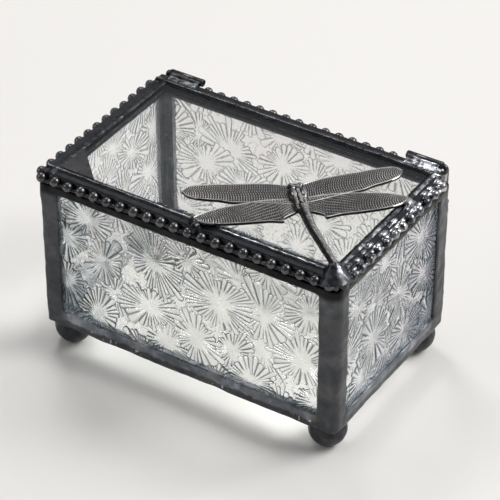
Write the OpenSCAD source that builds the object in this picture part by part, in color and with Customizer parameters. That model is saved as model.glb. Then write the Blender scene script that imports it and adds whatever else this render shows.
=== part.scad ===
// Small hinged glass box: five textured panes joined by foil and solder, ball feet,
// a clear-edged lid with beaded trim, two tube hinges and a cast dragonfly on top.
// Origin: centre of the footprint at the bottom of the feet. +X right, front at -Y, +Z up.

/* [Box] */
// Outer width of the soldered body
body_w = 101.6; // [80:0.1:160]
// Outer depth of the soldered body
body_d = 63.5; // [50:0.1:76]
// Height of the soldered body, without feet and lid
body_h = 50.8; // [30:0.1:90]
// Radius of the rounded solder on each upright corner
corner_r = 3.0; // [2:0.1:4]
// Radius of the solder along the bottom and top edges
edge_r = 1.0; // [0.4:0.1:1.4]

/* [Panes] */
// Thickness of the glass
glass_t = 3.0; // [2:0.1:4]
// Thickness of the folded foil round each pane
foil_t = 0.15; // [0.1:0.01:0.2]
// How far foil and solder cover the pane at posts and rim
foil_overlap = 2.4; // [1.5:0.1:4]
// How far foil and solder cover the walls above the base pane
base_overlap = 1.4; // [1:0.1:3]
// How far the base pane's edge lies inside the walls' outer faces
base_inset = 0.65; // [0.6:0.05:1.5]
// Solder-filled gap between neighbouring panes
pane_gap = 0.2; // [0.1:0.05:0.4]

/* [Solder] */
// Solder thickness over the foil outside
solder_t = 0.35; // [0.2:0.05:0.6]
// Solder thickness over the foil inside
inner_solder_t = 0.3; // [0.2:0.05:0.5]
// Play left where solder lies on a round surface
solder_play = 0.05; // [0.03:0.01:0.1]
// Radius of the solder in the inside corners
inner_r = 1.5; // [0.5:0.1:2.5]

/* [Feet] */
// Radius of a ball foot
foot_r = 5.8; // [4:0.1:8]
// Height of the feet below the body
foot_h = 8.6; // [6:0.1:9.5]
// How far a ball's centre lies below the body
foot_sink = 3.0; // [2:0.1:3.6]

/* [Lid] */
// Gap between the rim and the closed lid
lid_gap = 0.3; // [0.2:0.05:0.6]
// Distance of the lid's edge inside the body's face
lid_inset = 0.6; // [0.2:0.1:1.2]
// Width of the solder strip round the lid
lid_strip = 4.4; // [4:0.1:7]
// Distance of the strip's crest from the lid's edge
crest_d = 3.0; // [2:0.1:3.5]
// Height of the crest above the foiled pane
crest_h = 0.55; // [0.3:0.05:1]
// Radius of the strip's domed top
dome_r = 9.0; // [8:0.1:14]
// Radius of the lid's corners in plan
lid_corner_r = 1.0; // [0.4:0.1:1.1]

/* [Beaded trim] */
// Radius of a bead
bead_r = 1.45; // [1:0.05:1.6]
// Distance from bead to bead
bead_pitch = 4.62; // [3.6:0.01:6]
// Radius of the wire through the beads
bead_wire_r = 0.6; // [0.4:0.05:0.9]
// Distance of a bead's centre outside the lid's edge
bead_out = 0.9; // [0.6:0.05:1.2]
// Distance of the first front bead from the body's left face
front_bead_start = 1.57; // [1.5:0.01:4]
// Distance of the first side bead from the body's front face
side_bead_start = 2.3; // [2.2:0.1:4]

/* [Hinges] */
// Outer radius of a hinge tube
tube_r = 1.2; // [1:0.05:1.5]
// Radius of the pin wire
pin_r = 0.8; // [0.5:0.05:0.9]
// Running clearance between pin and tube bore
pin_clearance = 0.05; // [0.03:0.01:0.09]
// Length of a hinge tube
tube_len = 11.8; // [8:0.1:20]
// Distance of a tube's outer end from the body's side
tube_inset = 3.4; // [2.5:0.1:8]
// Height of the hinge axis over the lid's glass
hinge_rise = 0.45; // [0.3:0.05:0.8]
// Gap between a tube's end and the bend of its pin
bend_gap = 0.2; // [0.1:0.05:0.6]
// Bend radius of a pin at its centre line
pin_bend_r = 1; // [0.9:0.1:2]
// Length of a pin's leg below the rim
leg_drop = 12.4; // [5:0.1:16]
// Length of the solder that holds the leg
leg_solder_len = 6; // [3:0.5:8]
// Thickness of the solder round the leg
leg_solder_t = 0.6; // [0.3:0.1:0.8]

/* [Dragonfly] */
// Distance of the thorax from the body's right face
fly_from_right = 27.3; // [26.5:0.1:28]
// Distance of the thorax from the body's front face
fly_from_front = 24.35; // [23.5:0.05:25]
// Direction of the casting, head to tail
fly_turn = -48; // [-52:1:-44]
// Gap between the crest and the flat back of the wings
wing_gap = 0.3; // [0.1:0.05:0.6]
// Thickness of a wing's sheet
wing_t = 0.7; // [0.5:0.05:1.2]
// Height of the raised rim and veins over the sheet
vein_h = 0.3; // [0.15:0.05:0.5]
// Width of a wing's raised rim
wing_rim = 0.5; // [0.3:0.05:0.8]
// Width of a cross vein
vein_w = 0.35; // [0.25:0.05:0.6]
// How far a cross vein bows towards the wing's tip
vein_bow = 0.9; // [0:0.1:1.5]
// Distance from one cross vein to the next
vein_pitch = 2; // [1.5:0.1:3]
// Distance from the far wing tip to the right hinge's solder
wing_clear = 6.25; // [5:0.05:8]
// Radius of the thorax
thorax_r = 2.4; // [1.8:0.1:2.8]
// Radius of an eye
eye_r = 1.25; // [0.9:0.05:1.5]
// Radius of the abdomen where it leaves the thorax
abdomen_r = 1.4; // [1:0.05:1.8]
// Radius of the abdomen at its tail
tail_r = 0.9; // [0.6:0.05:1.2]
// Radius of the solder blob at the tail
tail_joint_r = 3.9; // [3:0.1:4.2]
// Radius of the solder blob at a wing tip
wing_joint_r = 2.3; // [1.5:0.1:2.8]
// Legs of the triangular plate in the lid's front left corner
web_leg = 11.5; // [6:0.5:16]
// Thickness of the triangular plate
web_t = 0.3; // [0.2:0.05:0.4]

/* [Hidden] */
$fn = 48;
past = 1;                                        // how far a cutter runs past a face

z_body = foot_h;                                 // underside of the body
z_rim = z_body + body_h;                         // top of the body
half_w = body_w / 2;
half_d = body_d / 2;

foiled_t = glass_t + 2 * foil_t;                 // a pane with its foil
pane_w = body_w - 2 * solder_t;                  // outer faces of the foiled panes
pane_d = body_d - 2 * solder_t;
post_w = solder_t + foiled_t + pane_gap + foil_overlap;
base_z1 = z_body + solder_t;                     // base pane
base_z2 = base_z1 + foiled_t;
wall_z1 = base_z2 + pane_gap;                    // wall panes
wall_z2 = z_rim - solder_t;
window_z1 = wall_z1 + base_overlap;              // clear glass between the seams
window_z2 = wall_z2 - foil_overlap;
base_w = solder_t + foiled_t + pane_gap + base_overlap;
cavity_inset = solder_t + foiled_t + inner_solder_t;

lid_z = z_rim + lid_gap;                         // underside of the lid
lid_pane_z = lid_z + solder_t;
lid_top = lid_pane_z + foiled_t;
crest_z = lid_top + crest_h;
lid_half_w = half_w - lid_inset;
lid_half_d = half_d - lid_inset;

bead_z = lid_z + bead_r + (lid_top - lid_z - 2 * bead_r) * 0.55;
front_beads = floor((body_w - 2 * front_bead_start) / bead_pitch) + 1;
side_room = body_d - 2 * side_bead_start;
side_beads = floor(side_room / bead_pitch) + 1;

bore_r = pin_r + pin_clearance;
hinge_y = half_d + pin_r;                         // the pins' legs lie on the back of the body
hinge_z = lid_top + hinge_rise;
tube_end_x = half_w - tube_inset;                // outer end of the right tube
leg_x = tube_end_x + bend_gap + pin_bend_r;
leg_z = z_rim - leg_drop;
tube_solder_reach = 3.4;                         // from the hinge's axis towards the front

wing_z = crest_z + wing_gap;                     // flat back of the casting
fly_z = wing_z + 0.8;                            // middle height of head and thorax
far_tip = [32.2, -11.8];                         // tip of a fore wing, as the edges below
far_tip_y = far_tip[1] * sin(fly_turn) + far_tip[0] * cos(fly_turn);
fly_room = half_d + hinge_y - tube_solder_reach - wing_clear;
fly_scale = fly_room / (fly_from_front + far_tip_y);  // 1 on this lid, smaller on a smaller one
tail_at = [30.4, 4.0];                           // tail in the casting's own plan
tip_at = [2.0, 30.3];                            // tip of a hind wing, same plan

// Edges of the wings, each row the distance out from the body and the place along it
fore_front = [[1.2, -9.2], [6, -11], [11.5, -12.3], [18.5, -13.1], [25.5, -14.1], [30, -13.9],
    far_tip];
fore_rear = [[1.2, 0], [8, -1.6], [15, -3.3], [19.2, -4.2], [22.3, -5.6], [26.8, -7],
    [30.6, -9], far_tip];
hind_front = [[1.2, -3], [9, -3.6], [15.5, -3.1], [23, -1.9], [27.6, -0.4], [30.9, 1.4]];
hind_rear = [[1.2, 2.8], [2.2, 3.9], [5.6, 5.9], [6.2, 7.4], [10.5, 6.6], [18, 6.3],
    [24.6, 5.6], [29, 4], [30.9, 1.4]];

solder = [0.24, 0.26, 0.29];
pewter = [0.33, 0.33, 0.33];
clear = [0.85, 0.88, 0.87, 0.45];
copper = [0.30, 0.29, 0.28];
brass = [0.42, 0.42, 0.42];

// ---- helpers ----

// Rectangle with round corners, centred
module rounded_rect(w, d, r) {
    square([w - 2 * r, d], center = true);
    square([w, d - 2 * r], center = true);
    for (sx = [-1, 1], sy = [-1, 1])
        translate([sx * (w / 2 - r), sy * (d / 2 - r)]) circle(r);
}

// Box centred in x and y that stands on z
module slab(w, d, z1, z2) {
    translate([-w / 2, -d / 2, z1]) cube([w, d, z2 - z1]);
}

// Point on a smooth closed curve through the outline's points
function on_curve(p, i, t) =
    let (n = len(p), a = p[(i + n - 1) % n], b = p[i], c = p[(i + 1) % n], d = p[(i + 2) % n])
    0.5 * (2 * b + (c - a) * t + (2 * a - 5 * b + 4 * c - d) * t * t
        + (3 * b - a - 3 * c + d) * t * t * t);
function smooth_outline(p, steps) =
    [for (i = [0:len(p) - 1], k = [0:steps - 1]) on_curve(p, i, k / steps)];

// Wedge of the plan that belongs to one side, cut at 45 degrees at the corners
module side_wedge(side, z1, z2) {
    m = 5;
    far_x = half_w + m;
    far_y = half_d + m;
    mid_x = half_w - half_d;
    points = side == "front" ? [[-far_x, -far_y], [far_x, -far_y], [mid_x, 0], [-mid_x, 0]]
        : side == "back" ? [[far_x, far_y], [-far_x, far_y], [-mid_x, 0], [mid_x, 0]]
        : side == "left" ? [[-far_x, far_y], [-far_x, -far_y], [-mid_x, 0]]
        : [[far_x, -far_y], [far_x, far_y], [mid_x, 0]];
    translate([0, 0, z1]) linear_extrude(z2 - z1) polygon(points);
}

// ---- panes ----

// Front or back pane less a margin all round: 0 gives the foiled pane
module long_wall(sy, less) {
    w = pane_w - 2 * foiled_t - 2 * pane_gap - 2 * less;
    translate([0, sy * (pane_d - foiled_t) / 2, 0])
        slab(w, foiled_t - 2 * less, wall_z1 + less, wall_z2 - less);
}

module short_wall(sx, less) {
    d = pane_d - 2 * foiled_t - 2 * pane_gap - 2 * less;
    translate([sx * (pane_w - foiled_t) / 2, 0, 0])
        slab(foiled_t - 2 * less, d, wall_z1 + less, wall_z2 - less);
}

module base_pane(less) {
    in = base_inset + less;
    slab(pane_w - 2 * in, pane_d - 2 * in, base_z1 + less, base_z2 - less);
}

module lid_pane(less) {
    slab(2 * (lid_half_w - solder_t - less), 2 * (lid_half_d - solder_t - less),
        lid_pane_z + less, lid_top - less);
}

// Openings of clear glass through the walls, base and lid
module wall_windows() {
    slab(body_w - 2 * post_w, body_d + 2 * past, window_z1, window_z2);
    slab(body_w + 2 * past, body_d - 2 * post_w, window_z1, window_z2);
}

module base_window() {
    slab(body_w - 2 * base_w, body_d - 2 * base_w, z_body - past, wall_z1 + past);
}

module lid_window() {
    slab(2 * (lid_half_w - lid_strip), 2 * (lid_half_d - lid_strip), lid_z - past, crest_z + past);
}

module pane_glass() { color(clear) children(); }

module long_foil(sy) {
    color(copper) difference() {
        long_wall(sy, 0);
        long_wall(sy, foil_t);
        wall_windows();
    }
}

module short_foil(sx) {
    color(copper) difference() {
        short_wall(sx, 0);
        short_wall(sx, foil_t);
        wall_windows();
    }
}

module base_foil() {
    color(copper) difference() {
        base_pane(0);
        base_pane(foil_t);
        base_window();
    }
}

module lid_foil() {
    color(copper) difference() {
        lid_pane(0);
        lid_pane(foil_t);
        lid_window();
    }
}

// ---- body solder ----

// Outer shape of the body with every edge rounded
module body_block() {
    intersection() {
        translate([0, 0, z_body]) linear_extrude(body_h) rounded_rect(body_w, body_d, corner_r);
        translate([0, half_d, z_body + body_h / 2]) rotate([90, 0, 0])
            linear_extrude(body_d) rounded_rect(body_w, body_h, edge_r);
        translate([-half_w, 0, z_body + body_h / 2]) rotate([90, 0, 90])
            linear_extrude(body_w) rounded_rect(body_d, body_h, edge_r);
    }
}

// All the solder of the body in one: the block less the panes, the inside and the windows
module body_solder() {
    difference() {
        body_block();
        for (s = [-1, 1]) {
            long_wall(s, 0);
            short_wall(s, 0);
        }
        base_pane(0);
        translate([0, 0, base_z2 + inner_solder_t]) linear_extrude(body_h)
            rounded_rect(body_w - 2 * cavity_inset, body_d - 2 * cavity_inset, inner_r);
        wall_windows();
        base_window();
    }
}

module corner_seam(sx, sy) {
    color(solder) intersection() {
        body_solder();
        translate([sx * half_w, sy * half_d, 0])
            slab(2 * post_w, 2 * post_w, window_z1, window_z2);
    }
}

module base_seam(side) {
    color(solder) intersection() {
        body_solder();
        side_wedge(side, z_body, window_z1);
    }
}

module rim_seam(side) {
    color(solder) intersection() {
        body_solder();
        side_wedge(side, window_z2, z_rim);
    }
}

// Ball, flat where it meets the body and where it stands
module foot(sx, sy) {
    color(solder) intersection() {
        translate([sx * (half_w - foot_r), sy * (half_d - foot_r), z_body - foot_sink])
            sphere(foot_r);
        slab(body_w + 2 * past, body_d + 2 * past, 0, z_body);
    }
}

// ---- lid ----

// Section of the lid's strip: x inwards from the lid's edge, y up; grow lifts its dome
module strip_section(grow) {
    intersection() {
        translate([0, lid_z]) square([lid_strip, crest_z + grow - lid_z]);
        translate([crest_d, crest_z - dome_r]) circle(dome_r + grow, $fn = 96);
    }
}

// Strip along one side, before its corners are mitred
module strip_bar(side, grow = 0) {
    turn = side == "front" ? 0 : side == "right" ? 90 : side == "back" ? 180 : 270;
    edge = side == "front" || side == "back" ? lid_half_d : lid_half_w;
    rotate([0, 0, turn]) translate([-half_w, -edge, 0]) rotate([90, 0, 90])
        linear_extrude(body_w) strip_section(grow);
}

module lid_seam(side) {
    color(solder) difference() {
        intersection() {
            strip_bar(side);
            side_wedge(side, lid_z, crest_z);
            translate([0, 0, lid_z]) linear_extrude(crest_z - lid_z)
                rounded_rect(2 * lid_half_w, 2 * lid_half_d, lid_corner_r);
        }
        lid_pane(0);
    }
}

// Straight run of beads on a wire, turned in one piece, from its first bead along +X
module bead_run(count) {
    rotate([0, 90, 0]) rotate_extrude() intersection() {
        union() {
            for (i = [0:count - 1]) translate([0, i * bead_pitch]) circle(bead_r);
            translate([-bead_wire_r, 0]) square([2 * bead_wire_r, (count - 1) * bead_pitch]);
        }
        translate([0, -2 * bead_r]) square([2 * bead_r, count * bead_pitch + 4 * bead_r]);
    }
}

module lid_edge_block() { slab(2 * lid_half_w, 2 * lid_half_d, lid_z, crest_z); }

module bead_trim(side) {
    out_x = lid_half_w + bead_out;
    out_y = lid_half_d + bead_out;
    tube_clear = bead_r + 0.6;
    back_x2 = tube_end_x - tube_len - tube_clear;
    back_x1 = -back_x2;
    color(solder) difference() {
        if (side == "front") translate([-half_w + front_bead_start, -out_y, bead_z])
            bead_run(front_beads);
        else if (side == "back") translate([back_x1, out_y, bead_z])
            bead_run(floor((back_x2 - back_x1) / bead_pitch) + 1);
        else translate([side == "left" ? -out_x : out_x, -half_d + side_bead_start, bead_z])
            rotate([0, 0, 90]) bead_run(side_beads);
        lid_edge_block();
    }
}

// ---- hinges ----

function tube_start(sx) = sx < 0 ? -tube_end_x : tube_end_x - tube_len;

module hinge_tube(sx) {
    color(brass) translate([tube_start(sx), hinge_y, hinge_z]) rotate([0, 90, 0]) difference() {
        cylinder(h = tube_len, r = tube_r);
        translate([0, 0, -past]) cylinder(h = tube_len + 2 * past, r = bore_r);
    }
}

// Wire bent down past the tube's outer end, drawn for the right side
module bent_pin() {
    open_end = 1.5;                              // bore left empty at the tube's inner end
    inner_x = tube_end_x - tube_len + open_end;
    bend_x = leg_x - pin_bend_r;
    translate([inner_x, hinge_y, hinge_z]) rotate([0, 90, 0])
        cylinder(h = bend_x - inner_x, r = pin_r);
    translate([bend_x, hinge_y, hinge_z - pin_bend_r]) rotate([90, 0, 0])
        rotate_extrude(angle = 90) translate([pin_bend_r, 0]) circle(pin_r);
    translate([leg_x, hinge_y, leg_z]) cylinder(h = hinge_z - pin_bend_r - leg_z, r = pin_r);
}

module hinge_pin(sx) {
    color(brass) if (sx < 0) mirror([1, 0, 0]) bent_pin();
    else bent_pin();
}

// Solder between a tube and the lid's back strip
module tube_solder(sx) {
    end_gap = 0.8;
    grip = 0.76 * tube_r;                        // how far it climbs the tube, up and down
    section = [[hinge_y - tube_solder_reach, crest_z - 0.15], [hinge_y - grip, hinge_z + grip],
        [hinge_y - 0.3, hinge_z], [hinge_y - grip, hinge_z - grip], [lid_half_d, hinge_z - 1.4]];
    color(solder) difference() {
        translate([tube_start(sx) + end_gap, 0, 0]) rotate([90, 0, 90])
            linear_extrude(tube_len - 2 * end_gap) polygon(section);
        translate([tube_start(sx), hinge_y, hinge_z]) rotate([0, 90, 0])
            cylinder(h = tube_len, r = tube_r + solder_play);
        strip_bar("back", solder_play);
    }
}

// Solder that holds a pin's leg to the back of the body
module pin_solder(sx) {
    color(solder) difference() {
        translate([sx * leg_x, hinge_y, leg_z + 0.5])
            cylinder(h = leg_solder_len, r = pin_r + leg_solder_t);
        translate([sx * leg_x, hinge_y, leg_z - past])
            cylinder(h = leg_solder_len + 3 * past, r = pin_r);
        body_block();
    }
}

// ---- dragonfly ----

module place_fly() {
    translate([half_w - fly_scale * fly_from_right, fly_scale * fly_from_front - half_d, 0])
        rotate([0, 0, fly_turn]) children();
}

// Block on the smooth outline between a wing's front and rear edge
module wing_block(front, rear) {
    last = len(rear) - 2;
    plan = concat([for (row = front) [row[1], row[0]]],
        [for (i = [last:-1:0]) [rear[i][1], rear[i][0]]]);
    linear_extrude(wing_t + vein_h) polygon(fly_scale * smooth_outline(plan, 4));
}

// Cells cut from a wing's top: what stays between them is its rim and its bowed cross veins
module wing_cells(front, rear) {
    tip = front[len(front) - 1][0];
    long = vein_pitch - vein_w;
    for (v = [3.4:vein_pitch:tip - 1.5 - long]) {
        near = [lookup(v, front) + wing_rim, lookup(v, rear) - wing_rim];
        far = [lookup(v + long, front) + wing_rim, lookup(v + long, rear) - wing_rim];
        translate([0, 0, wing_t]) linear_extrude(vein_h + past) polygon(fly_scale * [
            [near[0], v], [(near[0] + near[1]) / 2, v + vein_bow], [near[1], v],
            [far[1], v + long], [(far[0] + far[1]) / 2, v + long + vein_bow], [far[0], v + long]]);
    }
}

// Fore and hind wing of both sides; the hind wing lies over the fore wing's rear edge
module wings() {
    fore_seen = [for (row = fore_rear)
        [row[0], min(row[1], row[0] < 20 ? lookup(row[0], hind_front) : row[1])]];
    for (side = [0, 1]) mirror([0, side, 0]) translate([0, 0, wing_z]) difference() {
        union() {
            wing_block(fore_front, fore_rear);
            wing_block(hind_front, hind_rear);
        }
        wing_cells(fore_front, fore_seen);
        wing_cells(hind_front, hind_rear);
    }
}

// The hind wings without their cells, to cut their seats out of the solder
module hind_wing_seats() {
    for (side = [0, 1]) mirror([0, side, 0]) translate([0, 0, wing_z])
        wing_block(hind_front, hind_rear);
}

// Ball of the casting's body at a place in its plan, lifted over its middle height
module fly_ball(at, r, lift = 0) {
    translate([fly_scale * at[0], fly_scale * at[1], fly_z + lift]) sphere(r);
}

// Rod of the casting's body, tapered, from one place in its plan to another
module fly_rod(from, to, r1, r2, lift = 0) {
    along = fly_scale * (to - from);
    translate([fly_scale * from[0], fly_scale * from[1], fly_z + lift])
        rotate([0, 90, atan2(along[1], along[0])]) cylinder(h = norm(along), r1 = r1, r2 = r2);
}

module fly_body() {
    fly_ball([-7.0, 0], 1.6);
    fly_ball([-3.4, 0], thorax_r);
    fly_rod([-3.4, 0], [2.8, 0], thorax_r, thorax_r * 0.8);
    fly_ball([2.8, 0], thorax_r * 0.8);
    for (s = [-1, 1]) {
        fly_ball([-7.7, s * 1.6], eye_r, 0.2);
        fly_ball([-4.2, s * 1.1], 1.6);
        fly_ball([4.3, s * 1.5], 0.75, 0.2);
    }
    fly_rod([3.2, 0.4], tail_at, abdomen_r, tail_r);
}

module fly_casting() {
    wings();
    intersection() {
        fly_body();
        slab(body_w, body_w, wing_z, wing_z + body_h);
    }
}

module dragonfly() {
    color(pewter) place_fly() fly_casting();
}

// Solder over the lid's front right corner, holding the tail
module tail_joint() {
    color(solder) difference() {
        intersection() {
            place_fly() translate([fly_scale * tail_at[0], fly_scale * tail_at[1], crest_z - 0.4])
                sphere(tail_joint_r);
            slab(body_w + 20, body_d + 20, lid_z, crest_z + 20);
        }
        lid_pane(0);
        strip_bar("front", solder_play);
        strip_bar("right", solder_play);
        lid_edge_block();
        bead_trim("front");
        bead_trim("right");
        place_fly() fly_body();
    }
}

// Solder between a hind wing's tip and the strip under it
module wing_joint(side) {
    color(solder) difference() {
        intersection() {
            place_fly() translate([fly_scale * tip_at[0], side * fly_scale * tip_at[1], crest_z])
                sphere(wing_joint_r);
            slab(2 * lid_half_w, 2 * lid_half_d, lid_top, crest_z + 5);
        }
        strip_bar(side < 0 ? "front" : "right", solder_play);
        place_fly() hind_wing_seats();
    }
}

// Flat foiled triangle that fills the lid's front left corner, on the glass
module corner_web() {
    x = -lid_half_w + lid_strip;
    y = -lid_half_d + lid_strip;
    color(solder) translate([0, 0, lid_top - foil_t]) linear_extrude(web_t)
        polygon([[x, y], [x + web_leg, y], [x, y + web_leg]]);
}

pane_glass() long_wall(-1, foil_t);  // front_glass
pane_glass() long_wall(1, foil_t);  // back_glass
pane_glass() short_wall(-1, foil_t);  // left_glass
pane_glass() short_wall(1, foil_t);  // right_glass
pane_glass() base_pane(foil_t);  // base_glass
pane_glass() lid_pane(foil_t);  // lid_glass
long_foil(-1);  // front_foil
long_foil(1);  // back_foil
short_foil(-1);  // left_foil
short_foil(1);  // right_foil
base_foil();
lid_foil();
corner_seam(-1, -1);  // corner_seam_front_left
corner_seam(1, -1);  // corner_seam_front_right
corner_seam(-1, 1);  // corner_seam_back_left
corner_seam(1, 1);  // corner_seam_back_right
base_seam("front");  // base_seam_front
base_seam("back");  // base_seam_back
base_seam("left");  // base_seam_left
base_seam("right");  // base_seam_right
rim_seam("front");  // rim_seam_front
rim_seam("back");  // rim_seam_back
rim_seam("left");  // rim_seam_left
rim_seam("right");  // rim_seam_right
foot(-1, -1);  // foot_front_left
foot(1, -1);  // foot_front_right
foot(-1, 1);  // foot_back_left
foot(1, 1);  // foot_back_right
lid_seam("front");  // lid_seam_front
lid_seam("back");  // lid_seam_back
lid_seam("left");  // lid_seam_left
lid_seam("right");  // lid_seam_right
bead_trim("front");  // bead_trim_front
bead_trim("back");  // bead_trim_back
bead_trim("left");  // bead_trim_left
bead_trim("right");  // bead_trim_right
hinge_tube(-1);  // hinge_tube_left
hinge_tube(1);  // hinge_tube_right
hinge_pin(-1);  // hinge_pin_left
hinge_pin(1);  // hinge_pin_right
tube_solder(-1);  // tube_solder_left
tube_solder(1);  // tube_solder_right
pin_solder(-1);  // pin_solder_left
pin_solder(1);  // pin_solder_right
dragonfly();
tail_joint();
wing_joint(-1);  // wing_joint_left
wing_joint(1);  // wing_joint_right
corner_web();
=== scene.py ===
"""Looks of the small hinged glass box: pressed glass panes, dark melted solder, a beaded lid
and a cast dragonfly. Everything is worked out in millimetres in the part's own frame, and
scaled to metres when a mesh is made."""

import math

import bmesh
import bpy
import numpy as np
from mathutils import Matrix, Vector


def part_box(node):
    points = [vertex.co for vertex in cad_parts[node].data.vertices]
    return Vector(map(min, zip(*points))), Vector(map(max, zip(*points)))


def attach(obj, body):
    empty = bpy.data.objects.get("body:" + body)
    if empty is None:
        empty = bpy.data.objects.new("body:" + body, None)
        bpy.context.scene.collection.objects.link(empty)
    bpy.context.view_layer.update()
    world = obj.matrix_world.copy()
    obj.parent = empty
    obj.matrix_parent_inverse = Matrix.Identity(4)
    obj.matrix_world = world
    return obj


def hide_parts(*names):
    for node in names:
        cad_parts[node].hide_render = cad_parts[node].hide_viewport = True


MM = 0.001
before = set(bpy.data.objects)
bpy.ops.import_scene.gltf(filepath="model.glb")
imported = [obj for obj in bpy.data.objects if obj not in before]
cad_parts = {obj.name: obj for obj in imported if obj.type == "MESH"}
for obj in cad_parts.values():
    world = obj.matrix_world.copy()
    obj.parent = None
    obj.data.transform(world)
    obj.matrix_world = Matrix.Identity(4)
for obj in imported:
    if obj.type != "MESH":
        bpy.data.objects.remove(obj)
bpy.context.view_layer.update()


def span(node):
    """Lowest and highest corner of a node, in millimetres."""
    low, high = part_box(node)
    return np.array(low) / MM, np.array(high) / MM


# ---- sizes read from the frame ----

post_low, post_high = span("corner_seam_front_right")
base_low, base_high = span("base_seam_front")
strip_low, strip_high = span("lid_seam_front")
bead_low, bead_high = span("bead_trim_front")

HALF_W, HALF_D = post_high[0], -post_low[1]
POST_W = post_high[0] - post_low[0]
Z_BODY, WINDOW_Z1 = base_low[2], base_high[2]
WINDOW_Z2, Z_RIM = (corner[2] for corner in span("rim_seam_front"))
BASE_W = base_high[1] - base_low[1]
GLASS_IN = -span("front_glass")[1][1]            # inner face of the front pane, from y = 0
LID_Z, CREST_Z = strip_low[2], strip_high[2]
LID_HALF_W, LID_HALF_D = strip_high[0], -strip_low[1]
LID_STRIP = strip_high[1] + LID_HALF_D           # width of the strip round the lid
LID_GLASS_TOP = span("lid_glass")[1][2]
BEAD_R = (bead_high[2] - bead_low[2]) / 2
BEAD_Z = (bead_high[2] + bead_low[2]) / 2
BEAD_OUT = -bead_low[1] - BEAD_R                 # the front beads' centres, from y = 0

# ---- choices shared with the part's source ----

SIDES = ("front", "back", "left", "right")
CORNERS = ("front_left", "front_right", "back_left", "back_right")
FOOT_INSET = 5.8                                 # a foot's centre, from the body's faces
TUBE_WALL = 0.35
BEAD_PITCH = 4.62
FLY_FROM_RIGHT, FLY_FROM_FRONT, FLY_TURN = 27.3, 24.35, -48.0
WING_Z = CREST_Z + 0.3                           # underside of the wings
TAIL_AT = (30.4, 4.0)                            # end of the tail in the dragonfly's own plan
TIP_AT = (2.0, 30.3)                             # tip of a hind wing in the same plan

# ---- choices for the looks alone ----

NEAR_CORNER, NEAR_ROUND = (1, -1), 2.9           # the front right post is worn rounder
OTHER_ROUND = 1.1
INNER_SOLDER = 0.45                              # solder on the walls' inner faces
BASE_THICK = 4.0                                 # base pane with the solder round it
PAD_R, PAD_FLAT = 5.3, 0.22                      # solder pad between a foot and the base
PATTERN_DEPTH = 0.45
BURST_SPACING = 10.5
DIMMING_REACH = 26                                  # how far the painted shade on a pane spreads
PAINTED_SHADE_SIDE = math.radians(-50)                    # the way that the flanks with painted shade face
BEAD_SINK = 0.12                                 # the balls are this much nearer to the lid
WIRE_DROP, WIRE_R = 0.7, 0.55                    # the wire that the beads sit on
LID_REACH_X, LID_REACH_Y = LID_HALF_W + 2.3, LID_HALF_D + 2.3   # room for beads and solder
WING_T, VEIN_H = 0.55, 0.45                      # wing plate, and the relief on it

# ---- fineness of the meshes ----

PANE_GRID = 0.17
BODY_VOXEL = 0.33
LID_VOXEL = 0.17
PIN_VOXEL = 0.15
FLY_VOXEL = 0.14
FOOT_VOXEL = 0.3
WING_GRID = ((240, 84))

# ---- camera, as the photograph was taken ----

CAMERA_AZIMUTH, CAMERA_ELEVATION = 32.52, 36.21
CAMERA_DISTANCE, CAMERA_RIGHT, CAMERA_UP = 716.0, 1.6, -0.83
CAMERA_AIM_Z = 27.5                              # above the underside of the body
LENS = 174.3


# ---- noise ----

def lattice(ix, iy, iz, seed):
    """A number from 0 to 1 for each point of a whole-number lattice."""
    h = (ix * 374761393 + iy * 668265263 + iz * 2147483647 + seed * 1274126177) & 0xFFFFFFFF
    h = ((h ^ (h >> 13)) * 1274126177) & 0xFFFFFFFF
    return ((h ^ (h >> 16)) & 0xFFFF) / 65535.0


def lumps(points, size, seed):
    """Smooth noise from -1 to 1 at points, with bumps of about this size."""
    p = np.asarray(points, float) / size
    cell = np.floor(p).astype(np.int64)
    f = p - cell
    f = f * f * (3 - 2 * f)
    total = 0
    for dx in (0, 1):
        for dy in (0, 1):
            for dz in (0, 1):
                weight = ((f[:, 0] if dx else 1 - f[:, 0]) * (f[:, 1] if dy else 1 - f[:, 1])
                          * (f[:, 2] if dz else 1 - f[:, 2]))
                total = total + weight * lattice(cell[:, 0] + dx, cell[:, 1] + dy,
                                                 cell[:, 2] + dz, seed)
    return total * 2 - 1


# ---- meshes ----

def mesh_points(mesh):
    """All points of a mesh, one a row."""
    co = np.zeros(len(mesh.vertices) * 3)
    mesh.vertices.foreach_get("co", co)
    return co.reshape(-1, 3)


def mesh_normals(mesh):
    """The normal at each point of a mesh, one a row."""
    no = np.zeros(len(mesh.vertices) * 3)
    mesh.vertex_normals.foreach_get("vector", no)
    return no.reshape(-1, 3)


def new_object(name, mesh):
    """Puts a mesh in the scene."""
    obj = bpy.data.objects.new(name, mesh)
    bpy.context.scene.collection.objects.link(obj)
    return obj


def turn_outwards(mesh, join=0.0):
    """Makes all faces of closed shells look outwards, once points nearer than join are one."""
    bm = bmesh.new()
    bm.from_mesh(mesh)
    if join:
        bmesh.ops.remove_doubles(bm, verts=bm.verts, dist=join)
    bmesh.ops.recalc_face_normals(bm, faces=bm.faces)
    bm.to_mesh(mesh)
    bm.free()


def smooth_faces(mesh, count=None):
    """Shades the first faces smooth, or all of them."""
    smooth = np.ones(len(mesh.polygons), bool)
    if count is not None:
        smooth[count:] = False
    mesh.polygons.foreach_set("use_smooth", smooth)


def grid_faces(rows, columns):
    """Faces of a grid of points, and the loop of points round its edge."""
    index = np.arange(rows * columns).reshape(rows, columns)
    quads = np.stack([index[:-1, :-1], index[:-1, 1:], index[1:, 1:], index[1:, :-1]], -1)
    edge = np.concatenate([index[0, :], index[1:, -1], index[-1, -2::-1], index[-2:0:-1, 0]])
    return quads.reshape(-1, 4), edge.tolist()


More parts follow.
